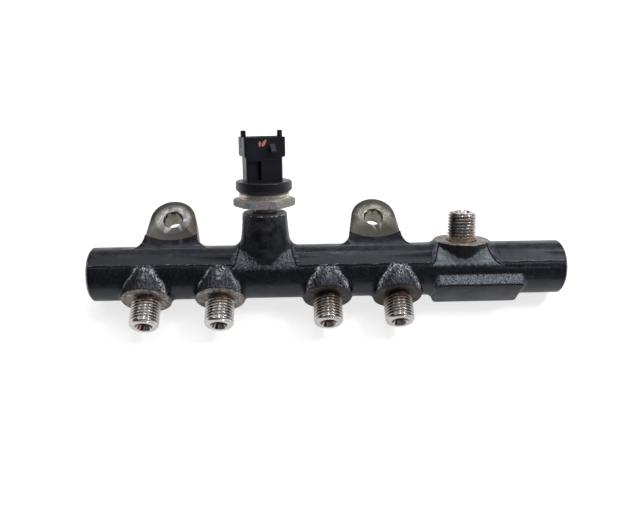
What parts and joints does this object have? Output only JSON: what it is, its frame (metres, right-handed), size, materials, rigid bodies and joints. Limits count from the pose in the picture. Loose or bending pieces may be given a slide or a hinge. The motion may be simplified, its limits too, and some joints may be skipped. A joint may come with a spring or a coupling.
{
  "type": "fuel rail",
  "caption": "Forged high-pressure common rail for a diesel engine, with threaded pipe stubs, bolt lugs and a screwed-in pressure sensor.",
  "frame": {"origin": "midway between the two bolt holes, on the face that the lugs seat with", "axes": "+X along the rail towards the inlet end, +Y the way the lugs stand out from the tube, +Z along the bolts towards their heads"},
  "size_m": [0.232, 0.082, 0.0656],
  "materials": {
    "black_paint": "semi-gloss black paint over a forged skin",
    "plug_steel": "turned steel",
    "port_steel": "plated steel, lightly stained",
    "sleeve_steel": "drawn stainless steel",
    "cell_steel": "ground stainless steel",
    "sensor_plastic": "satin black glass-filled plastic",
    "carrier_plastic": "plain moulded plastic",
    "board_laminate": "glass-fibre board",
    "chip_resin": "moulded resin",
    "seal_rubber": "rubber",
    "contact_metal": "tinned bronze"
  },
  "bodies": {
    "root": {"rail_body": "black_paint", "end_plug": "plug_steel", "sensor_port": "port_steel", "sensor_measuring_cell": "cell_steel", "sensor_sleeve": "sleeve_steel", "sensor_seal_ring": "seal_rubber", "sensor_connector": "sensor_plastic", "sensor_board_carrier": "carrier_plastic", "sensor_circuit_board": "board_laminate", "sensor_chip": "chip_resin", "sensor_terminal_1": "contact_metal", "sensor_contact_spring_1": "contact_metal", "sensor_terminal_2": "contact_metal", "sensor_contact_spring_2": "contact_metal", "sensor_terminal_3": "contact_metal", "sensor_contact_spring_3": "contact_metal"}
  },
  "joints": []
}
